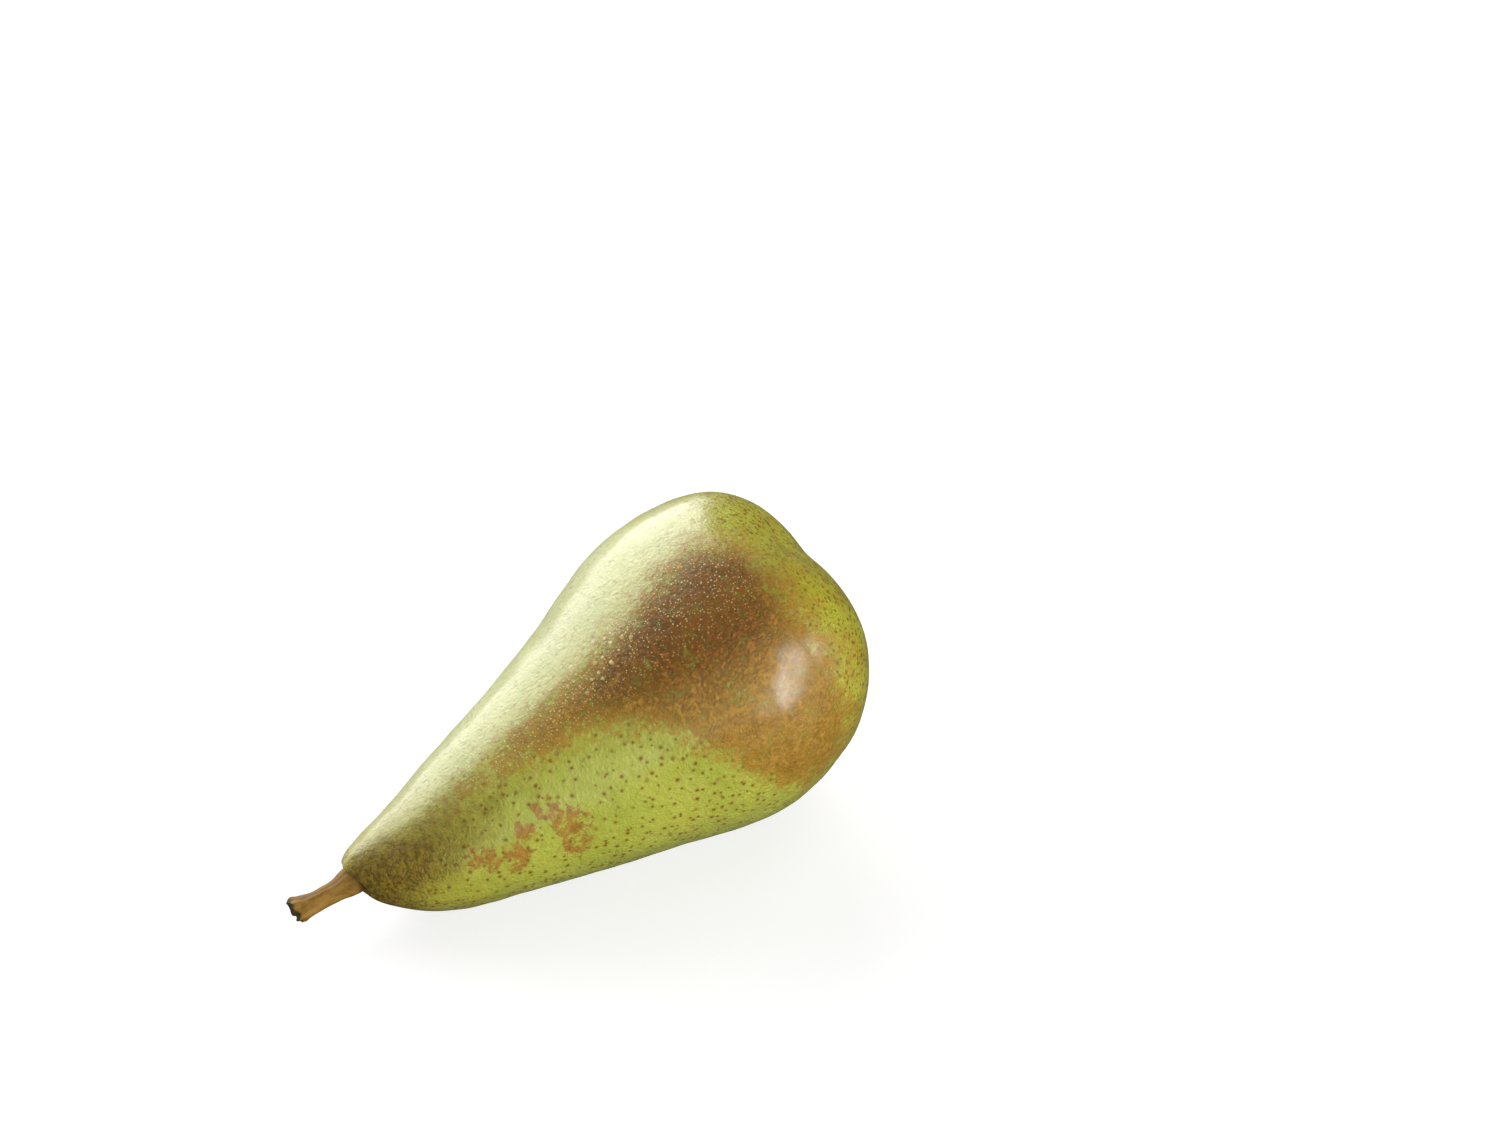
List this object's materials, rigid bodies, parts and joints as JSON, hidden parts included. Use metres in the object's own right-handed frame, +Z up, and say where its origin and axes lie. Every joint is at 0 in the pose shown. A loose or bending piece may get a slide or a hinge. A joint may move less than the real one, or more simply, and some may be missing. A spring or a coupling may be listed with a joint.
{
  "type": "pear",
  "caption": "Long-necked dessert pear lying on its side, with its cut stem, dried sepals and stamens, resting on a small flat along the belly and neck.",
  "frame": {"origin": "on the surface the pear lies on, under the middle of its box", "axes": "+X along the pear from the stem to the blossom end, +Z up, +Y to the left of a viewer looking along +X"},
  "size_m": [0.1304, 0.0676, 0.0675],
  "materials": {
    "skin": "satin yellow-green skin with a brown blush, russet patches and dark lenticels",
    "stem": "dry brown woody stem with fine ridges and a dark broken end",
    "calyx": "withered dark brown sepals and stamens, matte"
  },
  "bodies": {
    "root": {"fruit": "skin", "stem": "stem", "sepal_1": "calyx", "sepal_2": "calyx", "sepal_3": "calyx", "sepal_4": "calyx", "sepal_5": "calyx", "stamens": "calyx"}
  },
  "joints": []
}
